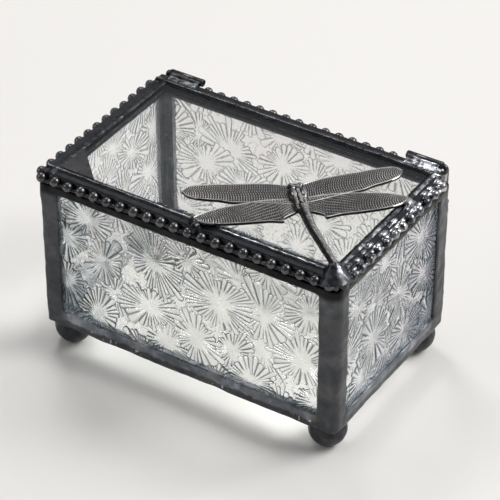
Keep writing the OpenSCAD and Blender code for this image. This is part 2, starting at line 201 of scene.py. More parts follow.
def skirt(upper, lower):
    """Faces between two loops of as many points."""
    n = len(upper)
    return [(upper[k], lower[k], lower[(k + 1) % n], upper[(k + 1) % n]) for k in range(n)]


def lathe(profile, segments=36):
    """Points and faces of a closed shell from (radius, height) pairs between two ends on Z."""
    turns = np.arange(segments) * 2 * math.pi / segments
    points = [(0, 0, profile[0][1])]
    for r, z in profile[1:-1]:
        points += [(r * math.cos(t), r * math.sin(t), z) for t in turns]
    points.append((0, 0, profile[-1][1]))
    faces, last = [], len(points) - 1
    for i in range(segments):
        j = (i + 1) % segments
        faces.append((0, 1 + j, 1 + i))
        for ring in range(len(profile) - 3):
            a = 1 + ring * segments
            faces.append((a + i, a + j, a + segments + j, a + segments + i))
        faces.append((last, last - segments + i, last - segments + j))
    return np.array(points), faces


BALL_STEPS = 24
UNIT_BALL = lathe([(math.sin(math.pi * k / BALL_STEPS), -math.cos(math.pi * k / BALL_STEPS))
                   for k in range(BALL_STEPS + 1)])


class Heap:
    """Closed shells in millimetres that overlap freely until they are melted into one."""

    def __init__(self):
        self.points, self.faces, self.count = [], [], 0

    def add(self, points, faces, place=None):
        """Takes in a shell, moved by a matrix if one is given."""
        points = np.array(points, float)
        if place is not None:
            m = np.array(place)
            points = points @ m[:3, :3].T + m[:3, 3]
        self.faces += [[v + self.count for v in face] for face in faces]
        self.points.append(points)
        self.count += len(points)

    def box(self, one, other):
        """A block between any two opposite corners."""
        low, high = np.minimum(one, other), np.maximum(one, other)
        corners = [[(low, high)[i >> k & 1][k] for k in range(3)] for i in range(8)]
        self.add(corners, [(0, 2, 3, 1), (4, 5, 7, 6), (0, 1, 5, 4), (2, 6, 7, 3), (0, 4, 6, 2),
                           (1, 3, 7, 5)])

    def ball(self, centre, radius, stretch=(1, 1, 1), turn=0.0):
        """A ball, stretched along each axis and then turned about the vertical."""
        place = (Matrix.Translation(Vector(centre)) @ Matrix.Rotation(turn, 4, "Z")
                 @ Matrix.Diagonal(Vector((*(radius * k for k in stretch), 1))))
        self.add(*UNIT_BALL, place)

    def rod(self, start, end, radius, end_radius=None):
        """A round rod or cone with flat ends."""
        along = Vector(end) - Vector(start)
        turn = along.to_track_quat("Z", "Y").to_matrix().to_4x4()
        end_radius = radius if end_radius is None else end_radius
        self.add(*lathe([(0, 0), (radius, 0), (end_radius, along.length), (0, along.length)]),
                 Matrix.Translation(Vector(start)) @ turn)

    def prism(self, section, start, end):
        """Section points (across, up) run from start to end along X or Y, inwards to the left."""
        start, end = Vector(start), Vector(end)
        across = Vector((0, 0, 1)).cross((end - start).normalized())
        n = len(section)
        self.add([at + across * a + Vector((0, 0, b)) for at in (start, end) for a, b in section],
                 [(i, (i + 1) % n, n + (i + 1) % n, n + i) for i in range(n)]
                 + [list(range(n))[::-1], list(range(n, 2 * n))])

    def shells(self, name):
        """The heap as a mesh of separate shells, still in millimetres."""
        mesh = bpy.data.meshes.new(name)
        mesh.from_pydata(np.vstack(self.points).tolist(), [], self.faces)
        turn_outwards(mesh)
        return mesh

    def melt(self, name, voxel, smoothing):
        """One smooth mesh round the whole heap, still in millimetres."""
        rough = self.shells(name + "_rough")
        holder = new_object(name + "_rough", rough)
        remesh = holder.modifiers.new("melt", "REMESH")
        remesh.mode = "VOXEL"
        remesh.voxel_size = voxel
        remesh.use_smooth_shade = True
        relax = holder.modifiers.new("relax", "SMOOTH")
        relax.factor = 0.5
        relax.iterations = smoothing
        graph = bpy.context.evaluated_depsgraph_get()
        mesh = bpy.data.meshes.new_from_object(holder.evaluated_get(graph))
        mesh.name = name
        bpy.data.objects.remove(holder)
        bpy.data.meshes.remove(rough)
        return mesh


def wobble(mesh, along, sideways, seed):
    """The mesh's points, moved along their normals and sideways by (size, amount) of noise."""
    points, normals = mesh_points(mesh), mesh_normals(mesh)
    for k, (size, amount) in enumerate(along):
        points = points + normals * (lumps(points, size, seed + k) * amount)[:, None]
    for k, (size, amount) in enumerate(sideways):
        drift = np.stack([lumps(points, size, seed + 50 + 3 * k + a) for a in range(3)], 1)
        points = points + drift * amount
    return points


def keep_inside(points, low, high):
    """Points held between two corners."""
    return np.minimum(np.maximum(points, low), high)


def to_metres(mesh, points):
    """Gives a mesh its final points."""
    mesh.vertices.foreach_set("co", (points * MM).ravel())
    mesh.update()


def dress(obj, body, slot, material, *nodes):
    """Puts a finished piece on its body, in place of the nodes that it stands for."""
    obj.data.materials.clear()
    obj.data.materials.append(material)
    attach(obj, body)
    if nodes:
        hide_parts(*nodes)


# ---- materials ----

def new_material(name):
    """A material with its nodes, its links and its main shader."""
    material = bpy.data.materials.new(name)
    material.use_nodes = True
    nodes = material.node_tree.nodes
    return material, nodes, material.node_tree.links, nodes["Principled BSDF"]


def object_noise(nodes, links, scale, detail, roughness=0.55):
    """Noise fixed to the object; scale is in bumps a metre."""
    place = nodes.new("ShaderNodeTexCoord")
    noise = nodes.new("ShaderNodeTexNoise")
    noise.inputs["Scale"].default_value = scale
    noise.inputs["Detail"].default_value = detail
    noise.inputs["Roughness"].default_value = roughness
    links.new(place.outputs["Object"], noise.inputs["Vector"])
    return noise


def ramp(nodes, links, source, stops):
    """Colours from (place, colour) pairs over a number from 0 to 1."""
    node = nodes.new("ShaderNodeValToRGB")
    node.color_ramp.elements.remove(node.color_ramp.elements[1])
    for k, (place, colour) in enumerate(stops):
        step = node.color_ramp.elements[0] if k == 0 else node.color_ramp.elements.new(place)
        step.position = place
        step.color = (*colour, 1)
    links.new(source, node.inputs["Fac"])
    return node


def bump(nodes, links, source, shader, strength, distance):
    """Fine unevenness in the shading alone; distance is in metres."""
    node = nodes.new("ShaderNodeBump")
    node.inputs["Strength"].default_value = strength
    node.inputs["Distance"].default_value = distance
    links.new(source, node.inputs["Height"])
    links.new(node.outputs["Normal"], shader.inputs["Normal"])


def layer(nodes, name):
    """A number for each point of the mesh, from 0 to 1, stored when the mesh is made."""
    node = nodes.new("ShaderNodeAttribute")
    node.attribute_name = name
    return node.outputs["Fac"]


def store_layer(mesh, name, values):
    """Stores a number for each point of the mesh."""
    mesh.attributes.new(name, "FLOAT", "POINT").data.foreach_set("value", values)


def tone_by_layer(material, name, stops):
    """Multiplies the base colour by a ramp over a stored layer."""
    nodes, links = material.node_tree.nodes, material.node_tree.links
    shader = nodes["Principled BSDF"]
    base = shader.inputs["Base Color"].links[0].from_socket
    factor = ramp(nodes, links, layer(nodes, name), stops)
    mix = nodes.new("ShaderNodeMix")
    mix.data_type = "RGBA"
    mix.blend_type = "MULTIPLY"
    mix.inputs["Factor"].default_value = 1.0
    links.new(base, mix.inputs[6])
    links.new(factor.outputs["Color"], mix.inputs[7])
    links.new(mix.outputs[2], shader.inputs["Base Color"])
    return material


def metal_material(name, tones, rough, grain, bump_depth, metallic=0.9):
    """Patinated metal: mottled tones, uneven gloss and a fine uneven skin. rough is the least and
    the most roughness, grain the mottling in bumps a metre, bump_depth in metres."""
    material, nodes, links, shader = new_material(name)
    shader.inputs["Metallic"].default_value = metallic
    mottle = object_noise(nodes, links, grain, 6)
    colour = ramp(nodes, links, mottle.outputs["Fac"], tones)
    links.new(colour.outputs["Color"], shader.inputs["Base Color"])
    cloud = object_noise(nodes, links, grain * 2.3, 4)
    gloss = nodes.new("ShaderNodeMapRange")
    gloss.inputs["From Min"].default_value = 0.3
    gloss.inputs["From Max"].default_value = 0.7
    gloss.inputs["To Min"].default_value = rough[0]
    gloss.inputs["To Max"].default_value = rough[1]
    links.new(cloud.outputs["Fac"], gloss.inputs["Value"])
    links.new(gloss.outputs["Result"], shader.inputs["Roughness"])
    skin = object_noise(nodes, links, grain * 8, 3)
    bump(nodes, links, skin.outputs["Fac"], shader, 0.35, bump_depth)
    return material


def glass_material(name, tint, rough, let_through):
    """Glass that refracts what is behind it and lets the lamps' light through."""
    material, nodes, links, shader = new_material(name)
    shader.inputs["Base Color"].default_value = (*tint, 1)
    shader.inputs["Transmission Weight"].default_value = 1.0
    shader.inputs["Roughness"].default_value = rough
    shader.inputs["IOR"].default_value = 1.5
    ripple = object_noise(nodes, links, 900, 2)
    bump(nodes, links, ripple.outputs["Fac"], shader, 0.06, 0.00005)
    clear = nodes.new("ShaderNodeBsdfTransparent")
    clear.inputs["Color"].default_value = (*let_through, 1)
    ray = nodes.new("ShaderNodeLightPath")
    mix = nodes.new("ShaderNodeMixShader")
    out = nodes["Material Output"]
    links.new(ray.outputs["Is Shadow Ray"], mix.inputs["Fac"])
    links.new(shader.outputs["BSDF"], mix.inputs[1])
    links.new(clear.outputs["BSDF"], mix.inputs[2])
    links.new(mix.outputs["Shader"], out.inputs["Surface"])
    return material


def pressed_material():
    """Clear glass with painted shade along the furrows and flanks of its pressed pattern, standing
    in for the dark that the glass refracts, and with a faint play of colour.
    """
    material = glass_material("pressed_glass", tint=(1, 1, 1), rough=0.02,
                              let_through=(0.98, 0.98, 0.98))
    nodes, links = material.node_tree.nodes, material.node_tree.links
    shader = nodes["Principled BSDF"]
    shader.inputs["Transmission Weight"].default_value = 0.90
    shader.inputs["Thin Film Thickness"].default_value = 420
    shader.inputs["Thin Film IOR"].default_value = 1.38
    # painted shade: the stored layer darkens the glass towards black along the pattern's furrows
    # and flanks
    painted_grey = ramp(nodes, links, layer(nodes, "painted_glass_shade"),
                [(0.0, (1.0, 0.99, 0.975)), (0.3, (0.52, 0.52, 0.52)), (0.6, (0.10, 0.10, 0.105)),
                 (1.0, (0.002, 0.002, 0.002))])
    links.new(painted_grey.outputs["Color"], shader.inputs["Base Color"])
    return material


def pewter_material(name, rough):
    """Cast metal with dark hollows and polished ridges, after the stored relief; on the dragonfly's
    body that layer holds a painted highlight.
    """
    material = metal_material(
        name, [(0.3, (0.11, 0.11, 0.11)), (0.6, (0.18, 0.174, 0.168)), (0.8, (0.26, 0.225, 0.20))],
        rough, grain=700, bump_depth=0.00003, metallic=0.85)
    return tone_by_layer(material, "relief", [(0.0, (0.10, 0.10, 0.10)), (0.4, (0.62, 0.62, 0.62)),
                                              (1.0, (5.2, 5.1, 5.0))])


def solder_material(name, tones, rough, metallic):
    """Solder: its stored shade runs from deep black, a painted shadow, over plain (0.5) to bright
    metal, which is clean solder in places and painted highlight in others.
    """
    material = metal_material(name, tones, rough, grain=170, bump_depth=0.00002, metallic=metallic)
    return tone_by_layer(material, "shade", [(0.0, (0.08, 0.08, 0.08)), (0.5, (1, 1, 1)),
                                             (0.75, (2.4, 2.5, 2.6)), (1.0, (11, 10.8, 10.5))])


LID_SOLDER = solder_material(
    "black_lid_solder",
    [(0.30, (0.020, 0.0205, 0.022)), (0.55, (0.036, 0.037, 0.040)), (0.72, (0.075, 0.072, 0.070))],
    rough=(0.20, 0.34), metallic=0.9)
BODY_SOLDER = solder_material(
    "grey_body_solder",
    [(0.30, (0.046, 0.048, 0.052)), (0.55, (0.070, 0.073, 0.079)), (0.75, (0.108, 0.104, 0.100))],
    rough=(0.22, 0.40), metallic=0.88)
WEB = metal_material(
    "grey_web",
    [(0.30, (0.045, 0.044, 0.046)), (0.55, (0.070, 0.068, 0.070)), (0.75, (0.11, 0.098, 0.092))],
    rough=(0.24, 0.40), grain=150, bump_depth=0.00002, metallic=0.8)
FOOT = metal_material(
    "matt_black_foot",
    [(0.3, (0.030, 0.031, 0.034)), (0.6, (0.060, 0.062, 0.066)), (0.8, (0.095, 0.093, 0.092))],
    rough=(0.36, 0.52), grain=420, bump_depth=0.00005)
FOIL = metal_material(
    "black_foil",
    [(0.3, (0.020, 0.021, 0.023)), (0.7, (0.045, 0.046, 0.050))],
    rough=(0.3, 0.45), grain=300, bump_depth=0.00001)
HINGE = metal_material(
    "black_hinge",
    [(0.3, (0.045, 0.046, 0.050)), (0.55, (0.09, 0.092, 0.096)), (0.8, (0.17, 0.16, 0.15))],
    rough=(0.18, 0.34), grain=500, bump_depth=0.00003)
WING_PEWTER = pewter_material("antiqued_pewter", rough=(0.30, 0.44))
# the dragonfly's body: glossier pewter, with a painted highlight in its stored layer
BODY_PEWTER = pewter_material("glossy_pewter_painted_highlight", rough=(0.16, 0.30))
BEAD = metal_material(
    "black_bead",
    [(0.3, (0.075, 0.076, 0.080)), (0.6, (0.12, 0.121, 0.125)), (0.8, (0.17, 0.165, 0.16))],
    rough=(0.22, 0.30), grain=300, bump_depth=0.00001)
PRESSED = pressed_material()
CLEAR = glass_material("clear_glass", tint=(0.98, 0.99, 0.985), rough=0.0,
                       let_through=(0.93, 0.94, 0.94))


# ---- pressed panes ----

def draw_fan(random, reach, contrast):
    """What chance decides for a fan: the number of its ridges, its turn, and each ridge's length,
    height, darkness of the painted line along its furrows, painted grey over it and where that line
    starts."""
    count = int(reach * random.uniform(2.7, 3.5))
    phase = random.uniform(0, 2 * math.pi)
    lengths = reach * random.uniform(0.68, 1.0, count)
    lengths = lengths * (1 + 0.22 * np.sin(np.arange(count) * 2 * math.pi / count * 2 + phase))
    tall = random.uniform(0.55, 1.0, count)
    dark = random.uniform(0.25, 1.0, count) ** 0.6 * (0.55 + 0.45 * contrast)
    painted_grey = random.uniform(0.0, 0.42, count) * contrast
    sharp_from = reach * random.uniform(0.18, 0.5, count)
    return count, phase, lengths, tall, dark, painted_grey, sharp_from


def fan_form(dx, dy, reach, contrast, fan):
    """A fan at offsets from its centre: where its ridges lie, their height, and their painted
    shade.
    """
    count, phase, lengths, tall, dark, painted_grey, sharp_from = fan
    r = np.hypot(dx, dy)
    angle = np.arctan2(dy, dx) + phase
    angle = angle + 0.12 * np.sin(2 * angle) + 0.06 * np.sin(5 * angle + phase)
    turn = (angle / (2 * math.pi)) % 1.0 * count
    which = np.floor(turn).astype(int) % count
    flank = (turn - np.floor(turn)) * 2 - 1           # -1 and 1 are the grooves, 0 the crest
    across = np.abs(flank)
    half_width = math.pi * r / count
    side = (1 - across) * half_width                  # distance to the groove beside the ridge
    tip = lengths[which] - r                          # distance to the ridge's end
    round_tip = half_width - np.hypot(across * half_width, np.maximum(half_width - tip, 0))
    edge = np.minimum(side, np.where(tip < half_width, round_tip, side))
    inside = (tip > 0) & (edge > -0.02)

    rise = np.minimum(0.8 * half_width, 0.42) * tall[which]
    body = np.clip(edge / np.maximum(half_width, 0.2), 0, 1)
    ridge = 0.10 * (1 - r / reach) + rise * np.sqrt(np.clip(1 - (1 - body) ** 2, 0, 1))

    fade = np.clip((r - sharp_from[which]) / 1.2, 0, 1)
    # painted dark line along each furrow, where the glass would refract darker things
    line = np.clip((0.30 - edge) / 0.16, 0, 1) * dark[which] * fade
    # painted shade on the flanks that face away from the light, and painted grey over whole ridges
    looks = np.arctan2(dy, dx) + np.sign(flank) * math.pi / 2
    faces_away = np.clip(np.cos(looks - PAINTED_SHADE_SIDE), 0, 1)
    flank_painted_shade = across ** 1.5 * faces_away * 0.45 + painted_grey[which] * np.clip(r / reach - 0.3, 0, 1)
    return inside, ridge, np.maximum(line, flank_painted_shade * contrast)


def burst_field(width, height, pitch, centres, seed):
    """Height of the pressed pattern on a grid, with the painted shade along its furrows and flanks:
    fans of long round-tipped ridges about scattered centres, each fan over the ones before it."""
    x = np.linspace(0, width, int(round(width / pitch)) + 1)
    y = np.linspace(0, height, int(round(height / pitch)) + 1)
    gx, gy = np.meshgrid(x, y)
    flat = np.stack([gx.ravel(), gy.ravel(), np.zeros(gx.size)], 1)
    field = (0.04 * lumps(flat, 0.9, seed) + 0.06 * lumps(flat, 2.2, seed + 1)).reshape(gx.shape)
    # painted dark lines between the bursts
    painted_glass_shade = np.clip(np.abs(lumps(flat, 1.3, seed + 2)).reshape(gx.shape) * -6 + 0.6, 0, 0.5)
    random = np.random.default_rng(seed)
    for cx, cy, reach, contrast in centres:
        fan = draw_fan(random, reach, contrast)
        near = (slice(*np.searchsorted(y, (cy - reach - 1, cy + reach + 1))),
                slice(*np.searchsorted(x, (cx - reach - 1, cx + reach + 1))))
        if gx[near].size == 0:
            continue
        inside, ridge, line = fan_form(gx[near] - cx, gy[near] - cy, reach, contrast, fan)
        field[near] = np.where(inside, ridge, field[near])
        painted_glass_shade[near] = np.where(inside, line, painted_glass_shade[near])
    return x, y, field, painted_glass_shade


def scatter(width, height, seed, contrast, given):
    """Burst centres: the given ones, then others that keep their distance. A centre has its place
    across and up, its reach and its contrast, which is the strength of its painted shade."""
    random = np.random.default_rng(seed)
    found = [list(c) for c in given]
    for _ in range(900):
        x, y = random.uniform(-2, width + 2), random.uniform(-2, height + 2)
        if all(math.hypot(x - c[0], y - c[1]) > BURST_SPACING for c in found):
            found.append([x, y, random.uniform(8.0, 12.0), random.uniform(*contrast)])
    return found


def pressed_pane(node, sign, axis, given, seed, contrast, painted_dimming):
    """A pane whose outer face carries the bursts. Axis 1 is a front or back pane, 0 a side pane,
    and sign the way that it faces. painted_dimming is where across the glass the painted shade is
    darkest, and how dark."""
    low, high = span(node)
    other = 1 - axis
    width, height = high[other] - low[other], high[2] - low[2]
    centres = scatter(width, height, seed, contrast, given)[::-1]
    x, y, field, painted_glass_shade = burst_field(width, height, PANE_GRID, centres, seed)
    gx, gy = np.meshgrid(x, y)
    flat = np.stack([gx.ravel(), gy.ravel(), 0 * gx.ravel()], 1)
    # painted dimming: clouds of painted shade, strongest near one edge of the pane
    cloud = np.clip(0.35 + lumps(flat, 5.0, seed + 7) + 0.6 * lumps(flat, 1.7, seed + 8), 0, 1)
    near = np.clip(1 - np.abs(gx - painted_dimming[0]) / DIMMING_REACH, 0, 1)
    painted_glass_shade = np.clip(painted_glass_shade + painted_dimming[1] * near * cloud.reshape(gx.shape), 0, 1)

    outer = high[axis] if sign > 0 else -low[axis]
    inner = low[axis] if sign > 0 else -high[axis]
    face = np.zeros((gx.size, 3))
    face[:, other] = low[other] + gx.ravel()
    face[:, 2] = low[2] + gy.ravel()
    face[:, axis] = sign * np.minimum(outer - PATTERN_DEPTH + field, outer).ravel()
    quads, rim = grid_faces(len(y), len(x))
    back = face[rim].copy()
    back[:, axis] = sign * inner
    back_loop = list(range(len(face), len(face) + len(rim)))

    mesh = bpy.data.meshes.new(node)
    mesh.from_pydata((np.vstack([face, back]) * MM).tolist(), [],
                     quads.tolist() + skirt(rim, back_loop) + [back_loop])
    store_layer(mesh, "painted_glass_shade", np.concatenate([painted_glass_shade.ravel(), np.zeros(len(back))]))
    smooth_faces(mesh, len(quads))
    turn_outwards(mesh)
    dress(new_object("pressed_" + node, mesh), "box", "pressed_glass", PRESSED, node)


# bursts that can be told apart in the photograph: across, up, reach, contrast (the strength of
# their painted shade)
FRONT_BURSTS = [(13, 39, 9, 1.0), (18, 26, 9, 1.0), (36, 33, 12, 1.0), (15, 6, 10, 1.0),
                (34, 16, 11, 0.9), (50, 11, 10, 0.6), (58, 27, 13, 0.7), (73, 29, 11, 0.6),
                (86, 18, 12, 0.8), (69, 3, 11, 0.8), (91, 5, 9, 0.8), (5, 30, 9, 1.0),
                (4, 14, 9, 1.0), (47, 38, 8, 0.9), (88, 36, 9, 0.9)]
SIDE_BURSTS = [(45, 36, 11, 1.0), (47, 22, 10, 1.0), (32, 24, 10, 1.0), (18, 17, 11, 1.0),
               (8, 34, 9, 1.0), (36, 8, 10, 1.0)]

pressed_pane("front_glass", -1, 1, FRONT_BURSTS, seed=11, contrast=(0.5, 0.9), painted_dimming=(0, 0.45))
pressed_pane("back_glass", 1, 1, (), seed=23, contrast=(0.2, 0.55), painted_dimming=(100, 0.1))
pressed_pane("left_glass", -1, 0, (), seed=37, contrast=(0.3, 0.7), painted_dimming=(0, 0.2))
pressed_pane("right_glass", 1, 0, SIDE_BURSTS, seed=41, contrast=(0.8, 1.0), painted_dimming=(56, 0.45))


# ---- solder of the body ----

def body_heap():
    """Posts, base and rim seams, run through the panes' edges so that they melt together."""
    heap = Heap()
    wall = HALF_D - GLASS_IN + INNER_SOLDER
    for sx in (-1, 1):
        for sy in (-1, 1):
            radius = NEAR_ROUND if (sx, sy) == NEAR_CORNER else OTHER_ROUND
            x, y = sx * (HALF_W - radius), sy * (HALF_D - radius)
            heap.box((x, sy * HALF_D, Z_BODY),
                     (sx * (HALF_W - POST_W), sy * (HALF_D - wall), Z_RIM))
            heap.box((sx * HALF_W, y, Z_BODY),
                     (sx * (HALF_W - wall), sy * (HALF_D - POST_W), Z_RIM))
            heap.rod((x, y, Z_BODY), (x, y, Z_RIM), radius)
            heap.ball((sx * (HALF_W - FOOT_INSET), sy * (HALF_D - FOOT_INSET), Z_BODY - 0.2),
                      PAD_R, (1, 1, PAD_FLAT))
    x, y = HALF_W - NEAR_ROUND, HALF_D - NEAR_ROUND
    for z1, z2, thick in ((Z_BODY, WINDOW_Z1, wall), (WINDOW_Z2, Z_RIM, wall),
                          (Z_BODY, Z_BODY + BASE_THICK, BASE_W)):
        for s in (-1, 1):
            heap.box((-x, s * HALF_D, z1), (x, s * (HALF_D - thick), z2))
            heap.box((s * HALF_W, -y, z1), (s * (HALF_W - thick), y, z2))
    return heap


def body_shade(points):
    """Painted shadow under the lid's rim, a paler painted reflection along the top of the base
    seam, specks below it.
    """
    z = points[:, 2]
    # painted shadow: darker towards the lid's rim, under the beads
    rim = np.clip((z - WINDOW_Z2 + 1.2) / 1.5, 0, 1)
    # painted reflection: a paler, bluish band along the top of the base seam
    ragged = z - (Z_BODY + 2.3) + 0.5 * lumps(points, 1.4, 201) + 0.4 * lumps(points, 5, 202)
    window = np.maximum(np.clip((HALF_W - POST_W + 0.5 - np.abs(points[:, 0])) / 2.5, 0, 1),
                        np.clip((HALF_D - POST_W + 0.5 - np.abs(points[:, 1])) / 2.5, 0, 1))
    upper = np.clip(ragged / 0.35, 0, 1) * (z < WINDOW_Z1 + 0.4) * window
    low = (z > Z_BODY + 1.0) * (z < Z_BODY + 2.4) * (lumps(points, 9, 204) > -0.1)
    specks = np.clip(lumps(points, 0.9, 203) * 4 - 1.5, 0, 1) * low * window
    cloud = 0.05 * lumps(points, 6, 205) + 0.04 * lumps(points, 1.6, 206)
    return np.clip(0.5 - 0.46 * rim + 0.26 * upper + 0.42 * specks + cloud, 0, 1)


body_mesh = body_heap().melt("body_solder", BODY_VOXEL, smoothing=12)
body_points = wobble(body_mesh, along=[(7.0, 0.09), (2.2, 0.05)],
                     sideways=[(5.0, 0.16), (2.0, 0.09)], seed=100)
store_layer(body_mesh, "shade", body_shade(body_points))
to_metres(body_mesh, keep_inside(body_points, (-HALF_W - 0.1, -HALF_D - 0.1, Z_BODY - 0.6),
                                 (HALF_W + 0.1, HALF_D + 0.1, Z_RIM + 0.05)))
dress(new_object("body_solder", body_mesh), "box", "solder", BODY_SOLDER,
      *("corner_seam_" + c for c in CORNERS), *("base_seam_" + s for s in SIDES),
      *("rim_seam_" + s for s in SIDES))


# ---- lid ----

def strip_sections():
    """Sections of the lid's strip over, beside and under the pane's edge, as points inwards from
    the lid's edge and up."""
    pane_top, pane_under, pane_edge = LID_GLASS_TOP + 0.07, LID_Z + 0.42, 0.55
    crown = [(0.0, -1.7), (0.15, -1.25), (0.9, -0.95), (1.7, -0.62), (2.3, -0.34), (2.8, -0.10),
             (3.15, 0.0), (3.5, -0.08), (3.9, -0.32), (LID_STRIP, -0.62)]
    top = [(0, pane_top - 0.6), *((d, CREST_Z + z) for d, z in crown),
           (LID_STRIP, pane_top), (pane_edge, pane_top)]
    edge = [(0, LID_Z), (0, CREST_Z - 0.9), (pane_edge, CREST_Z - 0.6), (pane_edge, LID_Z)]
    under = [(0, LID_Z), (0, pane_under), (LID_STRIP, pane_under), (LID_STRIP, LID_Z)]
    return top, edge, under


def fly_place(u, v):
    """A place in the dragonfly's own plan, in the part's plan."""
    a = math.radians(FLY_TURN)
    return (HALF_W - FLY_FROM_RIGHT + u * math.cos(a) - v * math.sin(a),
            FLY_FROM_FRONT - HALF_D + u * math.sin(a) + v * math.cos(a))


def bead_rows():
    """Centres of the beads along each side, one a row."""
    rows = {}
    for side in SIDES:
        low, high = span("bead_trim_" + side)
        along = 0 if side in ("front", "back") else 1
        sign = 1 if side in ("back", "right") else -1
        out = BEAD_OUT if along == 0 else BEAD_OUT - HALF_D + HALF_W
        count = int(round((high[along] - low[along] - 2 * BEAD_R) / BEAD_PITCH)) + 1
        rows[side] = np.full((count, 3), BEAD_Z)
        rows[side][:, along] = low[along] + BEAD_R + np.arange(count) * BEAD_PITCH
        rows[side][:, 1 - along] = sign * (out - BEAD_SINK)
    return rows


ROWS = bead_rows()


def make_beads():
    """The plain balls of three sides. Those on the right are drowned in solder."""
    heap = Heap()
    random = np.random.default_rng(15)
    for side in ("front", "back", "left"):
        for at in ROWS[side]:
            stretch = 1 + random.uniform(-0.04, 0.04, 3)
            heap.ball(at + random.uniform(-0.07, 0.07, 3), BEAD_R + 0.1, stretch)
    mesh = heap.shells("lid_beads")
    smooth_faces(mesh)
    to_metres(mesh, keep_inside(mesh_points(mesh), (-LID_REACH_X, -LID_REACH_Y, LID_Z),
                                (LID_REACH_X, LID_REACH_Y, CREST_Z)))
    dress(new_object("lid_beads", mesh), "lid", "solder", BEAD,
          *("bead_trim_" + s for s in SIDES))


make_beads()


def drown_row(heap, random):
    """Beads of the right side, with lumps of solder between them and on the strip."""
    for at in ROWS["right"]:
        heap.ball(at, BEAD_R + 0.05)
        lump = (-random.uniform(1.0, 1.6), random.uniform(1.6, 3.0), random.uniform(0, 0.5))
        heap.ball(at + lump, random.uniform(1.0, 1.4), (1, random.uniform(0.8, 1.4), 0.7))
        heap.ball((at[0] - random.uniform(1.6, 2.4), at[1] + random.uniform(-2, 2),
                   CREST_Z - random.uniform(0.6, 1.0)), random.uniform(0.7, 1.1), (1, 1.8, 0.8))


def add_joints(heap):
    """Cone of solder at the dragonfly's tail, and blobs under the tips of its hind wings."""
    tail = fly_place(*TAIL_AT)
    heap.rod((tail[0] + 1.0, tail[1] - 1.2, CREST_Z - 3.4),
             (tail[0] - 0.6, tail[1] + 0.5, CREST_Z + 1.8), 5.5, 1.4)
    for side in (-1, 1):
        tip = fly_place(TIP_AT[0], side * TIP_AT[1])
        heap.ball((*tip, CREST_Z - 0.3), 2.1, (1.2, 0.9, 0.6), math.radians(FLY_TURN))
    left_tip = fly_place(TIP_AT[0], -TIP_AT[1])
    heap.ball((left_tip[0] + 0.6, -LID_HALF_D + 0.2, CREST_Z - 1.2), 1.5, (1, 0.8, 1.3))


def add_hinge_slopes(heap):
    """Solder that runs from the hinge tubes down to the lid's strip."""
    for side in ("left", "right"):
        low, high = span("hinge_tube_" + side)
        y, z = (low[1] + high[1]) / 2, (low[2] + high[2]) / 2
        slope = [(0.2, z - 1.1), (0.5, z + 0.75), (1.1, z + 0.75), (2.2, z + 0.25),
                 (3.6, CREST_Z - 0.1), (3.6, CREST_Z - 1.6)]
        heap.prism(slope, (high[0] - 0.7, y, 0), (low[0] + 0.7, y, 0))


def lid_heap():
    """Strips, bead wires and blobs of the lid, melted together as the solder does."""
    heap = Heap()
    w, d = LID_HALF_W, LID_HALF_D
    corners = ((-w, -d), (w, -d), (w, d), (-w, d))
    for k in range(4):
        for section in strip_sections():
            heap.prism(section, (*corners[k], 0), (*corners[(k + 1) % 4], 0))
    random = np.random.default_rng(5)
    for side in SIDES:
        heap.rod(ROWS[side][0] - (0, 0, WIRE_DROP), ROWS[side][-1] - (0, 0, WIRE_DROP), WIRE_R)
    drown_row(heap, random)
    for x in np.arange(-12, w - 4, 0.62):             # ragged inner edge of the front strip
        heap.ball((x, LID_STRIP - d + random.uniform(-0.3, 0.45), LID_GLASS_TOP + 0.05),
                  random.uniform(0.3, 0.6), (1.2, 1, 0.45))
    add_joints(heap)
    add_hinge_slopes(heap)
    return heap


def lid_shade(points):
    """Clean bright solder on the right strip and near the right hinge, brightened further as a
    painted highlight; a painted highlight on the right side of the tail's cone, a painted highlight
    line and sheen along the front strip's crest, and specks along the crests."""
    x, y, z = points.T
    # clean bright solder on the right strip and by the hinge, made brighter as a painted highlight
    patch = np.clip(0.7 + 1.1 * lumps(points, 1.5, 301) + 0.6 * lumps(points, 0.6, 302), 0, 1)
    right = np.clip((x - LID_HALF_W + 3.2) / 0.4, 0, 1) * np.clip((y + LID_HALF_D - 6) / 3, 0, 1)
    hinge = np.clip((x - 33) / 2, 0, 1) * np.clip((y - LID_HALF_D + 3.6) / 0.6, 0, 1)
    tail = fly_place(*TAIL_AT)
    # painted highlight on the right side of the solder cone at the tail
    tail_painted_highlight = np.clip((x - tail[0] - 1.2) / 1.0, 0, 1) * np.clip(0.6 + lumps(points, 2.2, 307), 0, 1)
    bare_and_painted_highlight = np.maximum(np.maximum(right, hinge) * patch, 0.28 * tail_painted_highlight * (y < tail[1] + 4))
    inwards = y + LID_HALF_D
    # painted highlight line along the front strip's crest, and a paler painted sheen inside it
    crest_painted_highlight = np.exp(-((inwards - 3.0 + 0.25 * lumps(points, 2.5, 308)) / 0.33) ** 2)
    inner_painted_sheen = np.clip((inwards - 3.2) / 0.3, 0, 1) * (inwards < LID_STRIP + 0.6)
    half = np.clip((x + 13) / 3, 0, 1)
    patchy = (0.75 + 0.5 * lumps(points, 1.3, 309)) * (z > CREST_Z - 1.2)
    front = (0.42 * crest_painted_highlight * (0.3 + 0.7 * half) + 0.20 * inner_painted_sheen * half) * patchy
    specks = np.clip(lumps(points, 0.5, 303) + lumps(points, 3.5, 304) - 0.2, 0, 1)
    crest = np.clip((z - CREST_Z + 0.12) / 0.1, 0, 1) * specks
    cloud = 0.06 * lumps(points, 4, 305) + 0.04 * lumps(points, 1.2, 306)
    return np.clip(0.5 + 0.5 * bare_and_painted_highlight + front + 0.25 * crest + cloud, 0, 1)


